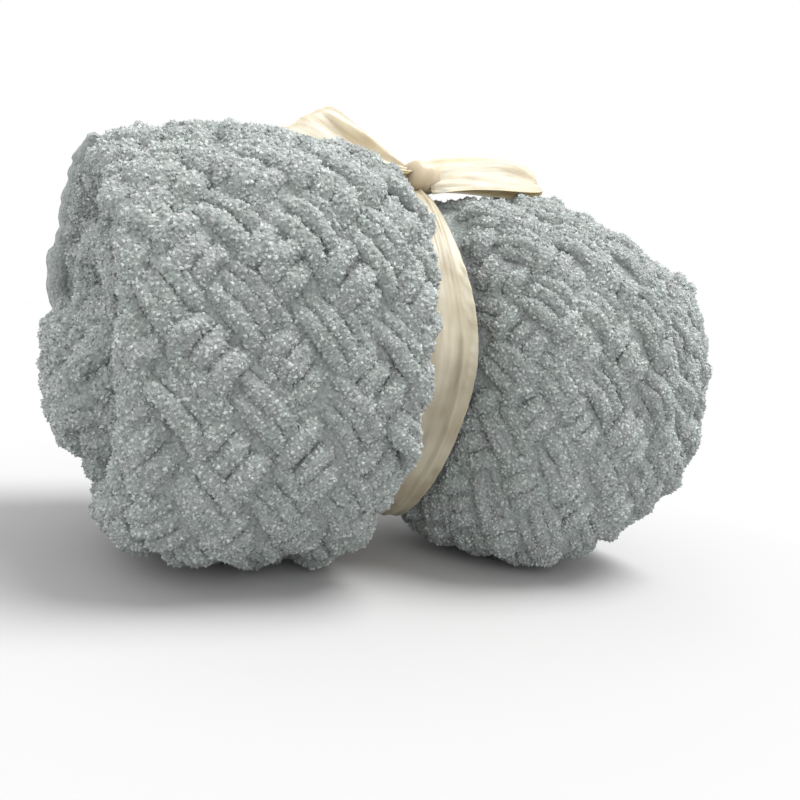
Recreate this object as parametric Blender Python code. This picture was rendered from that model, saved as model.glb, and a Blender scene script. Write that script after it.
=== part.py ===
"""A chunky knit blanket, folded once, rolled up and tied round its middle with a satin ribbon and a bow.

Every piece is one closed solid at its real size, in metres, with +Z up. The roll's axis runs along X, with
its near end at -X. The origin is on the floor, under the middle of the whole bundle.

Points on the roll are given by x, counted from the tie, and by an angle round the roll: 0 at the back, a
quarter turn on top and half a turn at the front.
"""

import math

import bmesh
import bpy
from mathutils import Vector

# Where the middle of the tie is, over the origin. Every mesh is measured from there
TIE = Vector((-0.0061, 0.0007, 0.1440))

# The cloth, which is folded once before it is rolled, so each turn is two cloths thick
CLOTH = 0.022
TURN = 2 * CLOTH

# The roll's outline: one row for each section, with the reach from its axis each way, and how square its
# front is (2 is an ellipse, and less is slacker)
SECTION_COLUMNS = ("x", "front", "back", "up", "down", "square")
SECTIONS = (
    (-0.176, 0.119, 0.117, 0.108, 0.133, 2.3),
    (-0.150, 0.126, 0.122, 0.121, 0.145, 2.3),
    (-0.115, 0.130, 0.124, 0.128, 0.151, 2.3),
    (-0.075, 0.131, 0.123, 0.129, 0.150, 2.3),
    (-0.046, 0.131, 0.119, 0.127, 0.141, 2.2),
    (-0.031, 0.124, 0.110, 0.119, 0.127, 2.1),
    (-0.025, 0.084, 0.095, 0.113, 0.117, 1.7),
    (0.000, 0.080, 0.094, 0.111, 0.115, 1.55),
    (0.025, 0.081, 0.095, 0.112, 0.116, 1.55),
    (0.035, 0.096, 0.103, 0.114, 0.124, 1.8),
    (0.055, 0.116, 0.115, 0.118, 0.141, 2.1),
    (0.090, 0.127, 0.122, 0.120, 0.151, 2.3),
    (0.130, 0.127, 0.122, 0.119, 0.153, 2.3),
    (0.165, 0.119, 0.115, 0.112, 0.145, 2.3),
    (0.204, 0.099, 0.098, 0.098, 0.119, 2.2),
)
BACK_SQUARE = 2.25

# The roll's slow unevenness, which fades out towards the tie: waves along x and waves round the roll
LUMP = 0.0022
LUMP_WAVES = ((38.0, 2, 0.0), (-55.0, 3, 1.3), (24.0, 5, 4.0))
LUMPS_FROM = 0.030
LUMPS_OVER = 0.040

# The cloth's loose edge, along the roll's lower back, with the crease beside it
LOOSE_EDGE_AT = math.radians(318)
LOOSE_EDGE_STEP = 0.010
EDGE_SIDE = 0.025
CREASE_SIDE = 0.090

# The two ends. The rim stands this far from the tie, leans back at the top and draws in at the lower back,
# and the middle of the roll is pushed out
ENDS = {
    "near": {"side": -1, "reach": 0.197, "lean": 0.010, "shy": 0.016, "groove": 0.022, "push": 0.024},
    "far": {"side": 1, "reach": 0.228, "lean": -0.004, "shy": 0.004, "groove": 0.020, "push": 0.0},
}
LEAN_AT = math.radians(50)
SHY_AT = math.radians(300)
EYE = Vector((0, 0.002, -0.036))
HEART = {"y": 0.085, "z": 0.056}
HEART_SIDES = 1.25

# The turns' edges, seen as ridges that wind inwards: the share of a turn in which the outermost one grows
# from nothing, how round the shoulder and the grooves are, and how deep the inner grooves are
WEDGE = 0.22
SHOULDER = 0.6
VALLEY = 1.5
INNER_GROOVES = 0.75
EYE_HEIGHT = 0.75

# The blanket's mesh: points round it, rings on each end, and rows as shares of the way from tie to rim
SIDES = 60
END_RINGS = 22
TIE_ROWS = (-0.0250, -0.0125, 0.0, 0.0125, 0.0250)
NEAR_ROWS = (0.92, 0.84, 0.72, 0.60, 0.48, 0.36, 0.25, 0.178)
FAR_ROWS = (0.170, 0.22, 0.29, 0.38, 0.50, 0.62, 0.74, 0.84, 0.93)

# The ribbon, a little clear of the knit, with one lengthwise pleat
RIBBON_WIDTH = 0.050
RIBBON = 0.0014
CLEAR = 0.00045
PLEAT = {"at": 0.0125, "height": 0.0022, "width": 0.006}

# The bow. A loop leaves its root, turns round at its tip and comes back, and across is the way of its width
KNOT = {"at": Vector((0.0120, 0.0, 0.1240)), "size": Vector((0.0240, 0.0330, 0.0205))}
KNOT_WAIST = 0.16
KNOT_SQUARE = 0.8
LOOPS = {
    "bow_loop_near": {
        "root": Vector((0.0030, 0.0020, 0.1240)),
        "tip": Vector((-0.0790, 0.0140, 0.1450)),
        "across": Vector((0.34, -0.89, 0.32)),
        "puff": 0.010,
        "lift": 0.005,
    },
    "bow_loop_far": {
        "root": Vector((0.0210, -0.0020, 0.1240)),
        "tip": Vector((0.0980, -0.0080, 0.1360)),
        "across": Vector((-0.10, -0.95, -0.28)),
        "puff": 0.012,
        "lift": 0.006,
    },
}
LOOP_GATHER = 0.34
LOOP_PLEATS = {"height": 0.0012, "waves": 2, "fade": 0.7, "from": 0.3}
LOOP_STATIONS = 24
LOOP_COLUMNS = 6
LOOP_STARTS = 0.015

KNIT_GREY = (0.42, 0.44, 0.43)
SATIN_CREAM = (0.81, 0.74, 0.60)


def ease(value):
    """0 up to 0, 1 from 1 on, and a smooth step between them."""
    value = min(max(value, 0.0), 1.0)
    return value * value * (3 - 2 * value)


def signed_power(value, power):
    return math.copysign(abs(value) ** power, value)


def section_at(x):
    """The row of SECTIONS that a smooth curve through all of them gives at x."""
    last = len(SECTIONS) - 1
    x = min(max(x, SECTIONS[0][0]), SECTIONS[last][0])
    row = max(k for k in range(last) if SECTIONS[k][0] <= x)
    a, b, c, d = (SECTIONS[min(max(k, 0), last)] for k in range(row - 1, row + 3))
    span = c[0] - b[0]
    t = (x - b[0]) / span
    section = {}
    for k, name in enumerate(SECTION_COLUMNS[1:], 1):
        rise = c[k] - b[k]
        start = span * (c[k] - a[k]) / (c[0] - a[0])
        stop = span * (d[k] - b[k]) / (d[0] - b[0])
        bend = 3 * rise - 2 * start - stop
        twist = start + stop - 2 * rise
        section[name] = b[k] + t * (start + t * (bend + t * twist))
    return section


def past_edge(angle):
    """How far round the roll this angle is from the loose edge, from 0 to 1 turn."""
    return ((angle - LOOSE_EDGE_AT) / math.tau) % 1.0


def lumps(x, angle):
    """The roll's slow unevenness, none of it under the ribbon."""
    waves = sum(math.sin(along * x + turns * angle + start) for along, turns, start in LUMP_WAVES)
    return LUMP * waves * ease((abs(x) - LUMPS_FROM) / LUMPS_OVER)


def edge_step(x, angle):
    """How far the skin sinks beside the loose edge: at once on one side of it, and slowly on the other."""
    turn = past_edge(angle)
    sink = math.exp(-turn / EDGE_SIDE) + math.exp((turn - 1) / CREASE_SIDE)
    return LOOSE_EDGE_STEP * sink * ease((abs(x) - LUMPS_FROM) / LUMPS_OVER)


def skin(x, angle):
    """The point of the roll's skin at x from the tie, flat where it rests on the floor."""
    section = section_at(x)
    c, s = math.cos(angle), math.sin(angle)
    deep = section["back"] if c > 0 else section["front"]
    high = section["up"] if s > 0 else section["down"]
    square = BACK_SQUARE if c > 0 else section["square"]
    y = deep * signed_power(c, 2 / square)
    z = high * signed_power(s, 2 / square)
    grow = 1 + (lumps(x, angle) - edge_step(x, angle)) / math.hypot(y, z)
    return Vector((x, y * grow, max(z * grow, -TIE.z)))


def ridge(depth, turn):
    """The height of the turns' edges, this many turns in from the skin: 0 in a deep groove, 1 on a ridge."""
    outer = ease(turn / WEDGE)
    if depth < outer:
        across = depth / outer
        size = outer
        hidden = 0.0
    else:
        across = (depth - outer) % 1.0
        size = 1.0
        hidden = max(outer, depth - 0.5)
    roundness = VALLEY
    if across < 0.5:
        roundness = SHOULDER + (VALLEY - SHOULDER) * ease(4 * hidden)
    height = size * abs(math.sin(math.pi * across)) ** roundness
    return 1 - (1 - height) * (1 - (1 - INNER_GROOVES) * ease(depth))


def end_reach(end, angle):
    """How far from the tie an end's ridges stand at this angle."""
    shy = max(0.0, math.cos(angle - SHY_AT)) ** 2
    return end["reach"] + end["lean"] * math.cos(angle - LEAN_AT) - end["shy"] * shy


def end_point(end, share, angle):
    """A point of an end's face: share is 1 at its rim and 0 at the eye of the roll."""
    side, groove = end["side"], end["groove"]
    rim = skin(side * (end_reach(end, angle) - groove), angle)
    middle = EYE + Vector((side * (end["reach"] - groove), 0, 0))
    spot = middle.lerp(rim, share)
    height = ridge((rim - spot).length / TURN, past_edge(angle))
    height = EYE_HEIGHT + (height - EYE_HEIGHT) * ease((share - 0.12) / 0.30)
    off = ((spot.y - EYE.y) / HEART["y"]) ** 2 + ((spot.z - EYE.z) / HEART["z"]) ** 2
    spot.x += side * (groove * height + end["push"] * ease(HEART_SIDES * (1 - off)))
    return spot


def flank_point(end, share, angle):
    """A point of the roll's side: share is 0 at the middle of the tie and 1 at the rim of that end."""
    away = share * (end["reach"] - end["groove"])
    away += (end_reach(end, angle) - end["reach"]) * ease((share - 0.25) / 0.75)
    return skin(end["side"] * away, angle)


def ring(mesh, point_at):
    """One ring of points round the roll."""
    return [mesh.verts.new(point_at(math.tau * k / SIDES)) for k in range(SIDES)]


def bridge(mesh, a, b):
    """One band of quads between two rings of the same number of points."""
    for k in range(len(a)):
        mesh.faces.new((a[k - 1], a[k], b[k], b[k - 1]))


def finish(name, mesh, colour, roughness):
    """Turns the bmesh into an object of that name at the tie, smooth and with its own material."""
    bmesh.ops.recalc_face_normals(mesh, faces=mesh.faces)
    data = bpy.data.meshes.new(name)
    mesh.to_mesh(data)
    mesh.free()
    data.shade_smooth()
    data.set_sharp_from_angle(angle=math.radians(60))
    material = bpy.data.materials.new(name)
    material.use_nodes = True
    shader = material.node_tree.nodes["Principled BSDF"]
    shader.inputs["Base Color"].default_value = (*colour, 1)
    shader.inputs["Roughness"].default_value = roughness
    shader.inputs["Metallic"].default_value = 0
    data.materials.append(material)
    thing = bpy.data.objects.new(name, data)
    thing.location = TIE
    bpy.context.scene.collection.objects.link(thing)
    return thing


def blanket():
    """The whole roll as one closed skin: near end, near half, waist under the ribbon, far half, far end."""
    mesh = bmesh.new()
    near, far = ENDS["near"], ENDS["far"]
    shares = [math.sin(math.pi / 2 * k / END_RINGS) for k in range(1, END_RINGS)]
    rings = [ring(mesh, lambda a, q=q: end_point(near, q, a)) for q in shares]
    rings += [ring(mesh, lambda a, q=q: flank_point(near, q, a)) for q in (1.0, *NEAR_ROWS)]
    rings += [ring(mesh, lambda a, x=x: skin(x, a)) for x in TIE_ROWS]
    rings += [ring(mesh, lambda a, q=q: flank_point(far, q, a)) for q in (*FAR_ROWS, 1.0)]
    rings += [ring(mesh, lambda a, q=q: end_point(far, q, a)) for q in reversed(shares)]
    for a, b in zip(rings, rings[1:]):
        bridge(mesh, a, b)
    for end, edge in ((near, rings[0]), (far, rings[-1])):
        eye = mesh.verts.new(end_point(end, 0.0, 0.0))
        for k in range(SIDES):
            mesh.faces.new((edge[k - 1], edge[k], eye))
    return finish("blanket", mesh, KNIT_GREY, 0.95)


def ribbon_band():
    """The ribbon round the waist, following the knit, with one lengthwise pleat towards its far edge."""
    mesh = bmesh.new()

    def off_skin(x, angle, height):
        point = skin(x, angle)
        return point + Vector((0, point.y, point.z)).normalized() * height

    inner, outer = [], []
    for x in TIE_ROWS:
        pleat = PLEAT["height"] * math.exp(-(((x - PLEAT["at"]) / PLEAT["width"]) ** 2))
        top = CLEAR + RIBBON + pleat
        inner.append(ring(mesh, lambda a, x=x: off_skin(x, a, CLEAR)))
        outer.append(ring(mesh, lambda a, x=x, top=top: off_skin(x, a, top)))
    for rows in (inner, outer):
        for a, b in zip(rows, rows[1:]):
            bridge(mesh, a, b)
    bridge(mesh, inner[0], outer[0])
    bridge(mesh, inner[-1], outer[-1])
    return finish("ribbon_band", mesh, SATIN_CREAM, 0.35)


def bow_knot():
    """The knot: a short turn of ribbon, flattened, with its sides drawn in."""
    mesh = bmesh.new()
    bmesh.ops.create_uvsphere(mesh, u_segments=16, v_segments=10, radius=0.5)
    for v in mesh.verts:
        waist = 1 - KNOT_WAIST * math.cos(math.pi * v.co.x) ** 2
        for axis in (1, 2):
            v.co[axis] = 0.5 * waist * signed_power(2 * v.co[axis], KNOT_SQUARE)
        v.co = v.co * KNOT["size"] + KNOT["at"]
    return finish("bow_knot", mesh, SATIN_CREAM, 0.35)


def loop_stations(loop):
    """The middle line of a loop, as pairs of how far out it is (0 at the knot, 1 at the tip) and a point."""
    out = loop["tip"] - loop["root"]
    up = out.cross(loop["across"]).normalized()
    up *= math.copysign(1.0, up.z)
    stations = []
    for k in range(LOOP_STATIONS + 1):
        t = math.pi * (LOOP_STARTS + (1 - 2 * LOOP_STARTS) * k / LOOP_STATIONS)
        go = math.sin(t)
        layer = -0.8 * RIBBON * math.cos(t) - loop["puff"] / 2 * math.sin(2 * t)
        rise = Vector((0, 0, loop["lift"] * 4 * go * (1 - go)))
        stations.append((go, loop["root"] + out * go + up * layer + rise))
    return stations


def bow_loop(name, loop):
    """One loop: a strip of ribbon from the knot round the tip and back, gathered where it starts and ends."""
    mesh = bmesh.new()
    across = loop["across"].normalized()
    stations = loop_stations(loop)
    top, under = [], []
    for k, (go, middle) in enumerate(stations):
        slope = stations[min(k + 1, LOOP_STATIONS)][1] - stations[max(k - 1, 0)][1]
        spread = LOOP_GATHER + (1 - LOOP_GATHER) * go**0.8
        width = Vector((0, -1, 0)).lerp(across, ease(go)).normalized() * RIBBON_WIDTH * spread
        normal = slope.cross(width).normalized()
        crisp = LOOP_PLEATS["height"] * (1 - LOOP_PLEATS["fade"] * go)
        crisp *= 1 - ease(1 - go / LOOP_PLEATS["from"])
        for side, rows in ((1, top), (-1, under)):
            row = []
            for c in range(LOOP_COLUMNS + 1):
                share = c / LOOP_COLUMNS
                height = crisp * math.cos(math.tau * LOOP_PLEATS["waves"] * share) + side * RIBBON / 2
                row.append(mesh.verts.new(middle + width * (share - 0.5) + normal * height))
            rows.append(row)
    for a, b, c, d in zip(top, top[1:], under, under[1:]):
        bridge(mesh, [*a, *reversed(c)], [*b, *reversed(d)])
    for a, c in ((top[0], under[0]), (top[-1], under[-1])):
        for k in range(LOOP_COLUMNS):
            mesh.faces.new((a[k], a[k + 1], c[k + 1], c[k]))
    return finish(name, mesh, SATIN_CREAM, 0.35)


for thing in list(bpy.data.objects):
    bpy.data.objects.remove(thing)
blanket()
ribbon_band()
bow_knot()
for name, loop in LOOPS.items():
    bow_loop(name, loop)
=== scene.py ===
# %% [markdown]
# # A chunky knitted blanket, rolled up and tied with a satin ribbon
# The blanket is hand-knitted from plush chenille yarn, folded once and rolled into a plump bundle. A wide
# ribbon draws its middle in and ends in a bow on top. The solid model of the bundle is already there, as a
# fixed frame. This script dresses it: yarn that stands out strand by strand, and soft, shiny ribbon.
# All sizes are in metres, +X runs along the roll and +Z is up.

# %% The frame, and the helpers that the rest of the lesson needs
import bisect
import math
import random

import bmesh
import bpy
from mathutils import Matrix, Vector, noise
from mathutils.bvhtree import BVHTree


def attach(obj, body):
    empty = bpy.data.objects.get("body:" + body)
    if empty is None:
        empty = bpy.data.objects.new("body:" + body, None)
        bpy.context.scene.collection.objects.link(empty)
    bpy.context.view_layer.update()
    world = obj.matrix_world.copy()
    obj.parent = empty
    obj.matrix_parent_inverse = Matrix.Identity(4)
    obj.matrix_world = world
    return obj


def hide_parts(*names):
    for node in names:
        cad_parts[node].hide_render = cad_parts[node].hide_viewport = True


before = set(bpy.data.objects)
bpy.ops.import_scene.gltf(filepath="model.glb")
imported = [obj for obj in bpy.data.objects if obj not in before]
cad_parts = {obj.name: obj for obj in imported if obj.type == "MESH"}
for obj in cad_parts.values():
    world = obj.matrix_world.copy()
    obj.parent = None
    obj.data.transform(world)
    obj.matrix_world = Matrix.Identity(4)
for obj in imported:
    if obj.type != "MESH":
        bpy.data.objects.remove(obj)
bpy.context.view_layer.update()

bpy.context.scene.view_settings.view_transform = "Standard"
# The middle of the drawn-in waist, inside the ribbon.
TIE = Vector((-0.0061, 0.0007, 0.1440))


def ease(value):
    """0 up to 0, 1 from 1 on, and a smooth step between them."""
    value = min(max(value, 0.0), 1.0)
    return value * value * (3 - 2 * value)


def new_object(name, data):
    """Puts a mesh, a lamp or a camera into the scene."""
    thing = bpy.data.objects.new(name, data)
    bpy.context.scene.collection.objects.link(thing)
    return thing


def as_object(name, mesh):
    """Turns a mesh that was made with bmesh into a smooth object."""
    data = bpy.data.meshes.new(name)
    mesh.to_mesh(data)
    mesh.free()
    data.shade_smooth()
    return new_object(name, data)


def keep_result(thing, modifier):
    """Makes what a modifier gives the thing's own mesh, and removes the modifier."""
    graph = bpy.context.evaluated_depsgraph_get()
    made = bpy.data.meshes.new_from_object(thing.evaluated_get(graph))
    thing.modifiers.remove(modifier)
    thing.data = made
    made.name = thing.name
    return thing


# %% [markdown]
# ## The camera
# The camera comes first, because the whole view of the bundle depends on it. It stands a little to the left
# of the bundle and a little above it, and is turned on its own axis, so the roll seems to slope down to the
# right. It is placed so that the middle of the tie lands on a chosen spot of the picture.

# %% Camera
PICTURE = 800
LENS_PIXELS = 779.0
SENSOR = 36.0
CAMERA_TURN = math.radians(-28)
CAMERA_RISE = math.radians(5)
CAMERA_ROLL = math.radians(7.5)
CAMERA_AWAY = 0.546
NEAREST_SEEN = 0.01
TIE_IN_PICTURE = (383, 350)


def aim_camera():
    """The camera, turned and rolled, at the one place that puts the tie on its spot of the picture."""
    back = Vector((
        math.sin(CAMERA_TURN) * math.cos(CAMERA_RISE),
        -math.cos(CAMERA_TURN) * math.cos(CAMERA_RISE),
        math.sin(CAMERA_RISE),
    ))
    level = Vector((math.cos(CAMERA_TURN), math.sin(CAMERA_TURN), 0))
    upright = back.cross(level)
    right = level * math.cos(CAMERA_ROLL) + upright * math.sin(CAMERA_ROLL)
    up = upright * math.cos(CAMERA_ROLL) - level * math.sin(CAMERA_ROLL)
    across = (TIE_IN_PICTURE[0] - PICTURE / 2) / LENS_PIXELS
    down = (TIE_IN_PICTURE[1] - PICTURE / 2) / LENS_PIXELS
    place = TIE - (right * across - up * down - back) * CAMERA_AWAY
    camera = new_object("Camera", bpy.data.cameras.new("Camera"))
    camera.data.sensor_width = SENSOR
    camera.data.lens = LENS_PIXELS * SENSOR / PICTURE
    camera.data.clip_start = NEAREST_SEEN
    camera.matrix_world = Matrix.Translation(place) @ Matrix((right, up, back)).transposed().to_4x4()
    bpy.context.scene.camera = camera
    return camera


camera = aim_camera()
print("Camera at", [round(c, 3) for c in camera.matrix_world.translation])


# %% [markdown]
# ## A map of the roll's surface
# Knitting is laid out flat, in rows and columns, and then rolled up. To lay yarn on the roll, we need the
# same map: from a place on the flat cloth to a point on the roll and the way out of it. An unwrapped UV map
# would stretch the yarn, because it doesn't keep real distances. So we cast rays at a rounded copy of the
# solid, in towards the axis along the flanks and from the side at each end. Walking along those hits and
# measuring the way gives real distances over the cloth.

# %% Rays at a rounded copy of the roll
SAME_SPOT = 0.00001


def merged(node):
    """A copy of a solid's mesh, with its loose triangles joined."""
    mesh = bmesh.new()
    mesh.from_mesh(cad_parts[node].data)
    bmesh.ops.remove_doubles(mesh, verts=mesh.verts, dist=SAME_SPOT)
    return mesh


def rounded_copy(node):
    """A subdivided copy of a solid, as a tree that rays can be cast at."""
    thing = as_object("rounded", merged(node))
    thing.modifiers.new("Rounder", "SUBSURF").levels = 1
    tree = BVHTree.FromObject(thing, bpy.context.evaluated_depsgraph_get())
    bpy.data.objects.remove(thing)
    return tree


def radial(angle):
    """The way out from the roll's axis at this angle: 0 is the back, a quarter turn is the top."""
    return Vector((0, math.cos(angle), math.sin(angle)))


roll = rounded_copy("blanket")
top = roll.ray_cast(TIE, radial(math.pi / 2))[0]
print("Under the ribbon the top of the roll is", round(top.z, 3), "m up")


# %% The turns of the roll
# The eye is where the turns wind in to. Behind the loose edge, the outermost turn opens over a wedge, which
# is measured in turns.
EYE = TIE + Vector((0, 0.002, -0.036))
TURN = 0.044
WEDGE = 0.22
LOOSE_EDGE_AT = math.radians(318)


def outer_turn(angle):
    """How wide the outermost turn's edge is at this angle, in turns: nothing at the loose edge, then 1."""
    return ease(((angle - LOOSE_EDGE_AT) / math.tau) % 1.0 / WEDGE)


print("At the back, the outermost turn has opened to", round(outer_turn(0), 2), "of its width")


# %% Lines from the tie to the eye
OUTSIDE = 0.40
MERIDIANS = 120
WALK = 0.004
LONGEST_HALF = 0.3
RIM_FROM = 0.1
STILL_FLANK = 0.6


def end_hit(side, y, z):
    """Where a ray that comes in along the axis meets one end of the roll."""
    return roll.ray_cast(Vector((side * OUTSIDE, y, z)), Vector((-side, 0, 0)))[0]


def half_meridian(side, angle):
    """The line over one half of the roll at this angle, from the tie to the rim and in towards the eye."""
    out = radial(angle)
    line = []
    x = 0.0
    while x < LONGEST_HALF:
        spot, normal, _, _ = roll.ray_cast(TIE + Vector((side * x, 0, 0)) + out * OUTSIDE, -out)
        if spot is None:
            break
        if x > RIM_FROM and (normal.dot(out) < STILL_FLANK or (spot - line[-1]).length > 3 * WALK):
            break
        line.append(spot)
        x += WALK
    rim = line[-1]
    inward = (EYE - rim).yz
    steps = int(inward.length / WALK)
    groove = len(line) + int(TURN * outer_turn(angle) / inward.length * steps)
    for k in range(1, steps):
        y, z = rim.yz + inward * (k / steps)
        spot = end_hit(side, y, z)
        if spot is not None:
            line.append(spot)
    return line, rim, min(groove, len(line) - 1)


def measured(line):
    """The distance walked at each point of a line."""
    walked = [0.0]
    for a, b in zip(line, line[1:]):
        walked.append(walked[-1] + (b - a).length)
    return walked


halves = {}
for side in (-1, 1):
    for k in range(MERIDIANS):
        line, rim, groove = half_meridian(side, math.tau * k / MERIDIANS)
        halves[side, k] = {"line": line, "walked": measured(line), "rim": rim, "groove": groove}
print("The map has", len(halves), "lines from the tie over a rim to the eye of the roll")


# %% Reading the map
SHORTEST = 0.0001
FEELER = 0.005


def on_line(line, walked, way):
    """The point this far along a measured line."""
    if way >= walked[-1]:
        return line[-1]
    after = bisect.bisect(walked, way)
    share = (way - walked[after - 1]) / max(walked[after] - walked[after - 1], SHORTEST)
    return line[after - 1].lerp(line[after], share)


def lines_beside(side, angle):
    """The two measured lines on both sides of an angle, and how far the angle is from the first."""
    place = (angle / math.tau % 1.0) * MERIDIANS
    k = int(place)
    return halves[side, k % MERIDIANS], halves[side, (k + 1) % MERIDIANS], place - k


def on_roll(u, angle):
    """The point of the roll this far over the cloth from the tie (near side below 0), at this angle."""
    a, b, share = lines_beside(-1 if u < 0 else 1, angle)
    a, b = (on_line(m["line"], m["walked"], abs(u)) for m in (a, b))
    return a.lerp(b, share)


def to_groove(side, angle):
    """How far over the cloth the outer turn goes at this angle: over the rim, to the first groove."""
    a, b, share = lines_beside(side, angle)
    a, b = (m["walked"][m["groove"]] for m in (a, b))
    return a + (b - a) * share


def way_out(surface, x, y):
    """The direction out of the cloth at a place of a surface that is given as a function of flat places."""
    along = surface(x + FEELER, y) - surface(x - FEELER, y)
    up = surface(x, y + FEELER) - surface(x, y - FEELER)
    return along.cross(up).normalized()


over_top = [round(to_groove(side, math.pi / 2), 3) for side in (-1, 1)]
print("Over the top, the outer turn reaches", over_top, "m to the near and the far groove")


# %% [markdown]
# ## The knit, as a rule
# Seen from outside, the knitting is a basket of slanting blocks: a block of three plump strands that runs
# down to the right, then one that runs up to the right, and so on like a chessboard that leans. Every
# strand rises out of the cloth in the middle of its block and dives under the next block at both ends.
# Every stitch could be placed by hand, but there are more than a thousand strands. So two steps, one along
# each kind of block, give the place of every block from two whole numbers, and chance moves it a little.

# %% Blocks on the flat
STEP = {"down": Vector((0.0270, -0.0270)), "up": Vector((0.0145, 0.0240))}
OTHER = {"down": "up", "up": "down"}
REACH = 26
WANDER = 0.0075
WANDER_WAVES = 9.0
WANDER_LAYER = 0.3

# Fixed seeds, so that each run knits the same blanket.
chance = random.Random(7)
noise.seed_set(7)


def wander(place):
    """A slow, hand-made unevenness of the rows, as a shift over the cloth."""
    shift = noise.noise_vector(Vector((place.x, place.y, WANDER_LAYER)) * WANDER_WAVES)
    return Vector((shift.x, shift.y)) * WANDER


def blocks():
    """Every block of a wide piece of knitting: its centre, and whether it runs down or up."""
    for i in range(-REACH, REACH + 1):
        for j in range(-REACH, REACH + 1):
            centre = STEP["down"] * i + STEP["up"] * j
            centre += wander(centre)
            yield centre, "up" if (i + j) % 2 else "down"


print("The rule lays", sum(1 for _ in blocks()), "blocks on the flat, more than the roll needs")


# %% The strands of a block
STRANDS = 3
STRAND_POINTS = 10
GIRTH = {"down": 0.0060, "up": 0.0074}
LIFT = {"down": 0.0, "up": 0.0016}
OVERRUN = {"down": 0.24, "up": 0.10}
ROUND = {"down": 0.55, "up": 0.95}
DIVE = 0.0105
BOW_OUT = 0.0042
PILE = 0.0014
UNEVEN_PLACE = 0.0010
UNEVEN_LIFT = 0.0012
UNEVEN_GIRTH = (0.90, 1.10)
END_GIRTH, MORE_IN_MIDDLE = 0.70, 0.30


def strands_of(centre, kind):
    """The flat lines of a block's strands, as lists of (place, depth below the surface, girth)."""
    run = STEP[kind]
    aside = STEP[OTHER[kind]]
    sideways = Vector((-run.y, run.x)).normalized()
    for number in range(STRANDS):
        offset = aside * ((number - (STRANDS - 1) / 2) / STRANDS)
        offset += Vector((chance.gauss(0, UNEVEN_PLACE), chance.gauss(0, UNEVEN_PLACE)))
        lift = chance.gauss(LIFT[kind], UNEVEN_LIFT)
        girth = GIRTH[kind] * chance.uniform(*UNEVEN_GIRTH)
        line = []
        for k in range(STRAND_POINTS):
            t = k / (STRAND_POINTS - 1)
            arch = math.sin(math.pi * t)
            along = run * ((t - 0.5) * (1 + 2 * OVERRUN[kind]))
            place = centre + offset + along + sideways * BOW_OUT * arch
            depth = girth + PILE + DIVE * (1 - arch ** ROUND[kind]) - lift
            line.append((place, depth, girth * (END_GIRTH + MORE_IN_MIDDLE * arch**0.5)))
        yield line


print("Each block has", STRANDS, "strands,", GIRTH["down"] * 2, "or", GIRTH["up"] * 2, "m thick without pile")


# %% [markdown]
# ## Round the flanks
# The width of the flat cloth goes along the roll and its height goes round it. A flat mesh of the knit could
# be bent with a Curve or a Lattice modifier, but that would make the yarn itself thicker wherever the roll
# is. So we bend only the lines, point by point on the map, and grow the yarn on them afterwards. What would
# pass a groove or the loose edge is tucked in there. The ribbon also has its effect: it presses strands down
# and makes them thinner, and the near half swells up beside it.

# %% Places on the outer turn
AROUND = 0.125
HALF_ROUND = math.pi * AROUND
EDGE_ROW = HALF_ROUND - (math.tau - LOOSE_EDGE_AT) * AROUND


def angle_of(y):
    """The angle round the roll of a height on the flat cloth."""
    return math.pi - y / AROUND


def flank(x, y):
    """The point of the roll at a place of the flat cloth."""
    return on_roll(x, angle_of(y))


def flank_limits(place):
    """How far the cloth goes at this place, along the roll and then round it."""
    angle = angle_of(place.y)
    return (-to_groove(-1, angle), to_groove(1, angle)), (EDGE_ROW - 2 * HALF_ROUND, EDGE_ROW)


print("The outer turn is", round(2 * HALF_ROUND, 3), "m of cloth from its loose edge round to it again")


# %% What the ribbon does to the strands
TIE_HALF_WIDTH = 0.024
TIE_EDGE = 0.012
TIE_PRESSES = 0.004
TIE_THINS = 0.25
SWELL = 0.0075
SWELL_FROM, SWELL_TO = 0.026, 0.085
FLAT_ABOVE = 0.97
FLATTENS_OVER = 0.45


def under_tie(x):
    """1 where the ribbon lies on the knit, and 0 from a centimetre beside it on."""
    return 1 - ease((abs(x) - TIE_HALF_WIDTH) / TIE_EDGE)


def beside_tie(place, depth, girth):
    """Thins and sinks a strand where the ribbon presses on it, and lets the near half swell beside it."""
    under = under_tie(place.x)
    swell = 0.0
    if SWELL_FROM < -place.x < SWELL_TO:
        swell = SWELL * math.sin(math.pi * (-place.x - SWELL_FROM) / (SWELL_TO - SWELL_FROM))
        swell *= ease((FLAT_ABOVE - math.sin(angle_of(place.y))) / FLATTENS_OVER)
    return place, depth + TIE_PRESSES * under - swell, girth * (1 - TIE_THINS * under)


print("The ribbon presses strands down by", TIE_PRESSES, "m, and the near half swells by", SWELL, "m")


# %% Laying the strands on the outer turn
TUCKED_IN = 0.6
BEHIND_RIBBON = 0.35 * TIE_HALF_WIDTH


def laid(line):
    """Puts a flat line on the roll and above the floor. What would pass the cloth's limits sinks in."""
    strand = []
    for place, depth, girth in line:
        (low_x, high_x), (low_y, high_y) = flank_limits(place)
        x = min(max(place.x, low_x), high_x)
        y = min(max(place.y, low_y), high_y)
        over = abs(place.x - x) + abs(place.y - y)
        out = way_out(flank, x, y)
        sunk = depth + TUCKED_IN * over
        point = flank(x, y) - out * sunk
        point.z = max(point.z, girth + PILE)
        strand.append((point, girth, out, sunk - TIE_PRESSES * under_tie(x)))
    return strand


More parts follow.
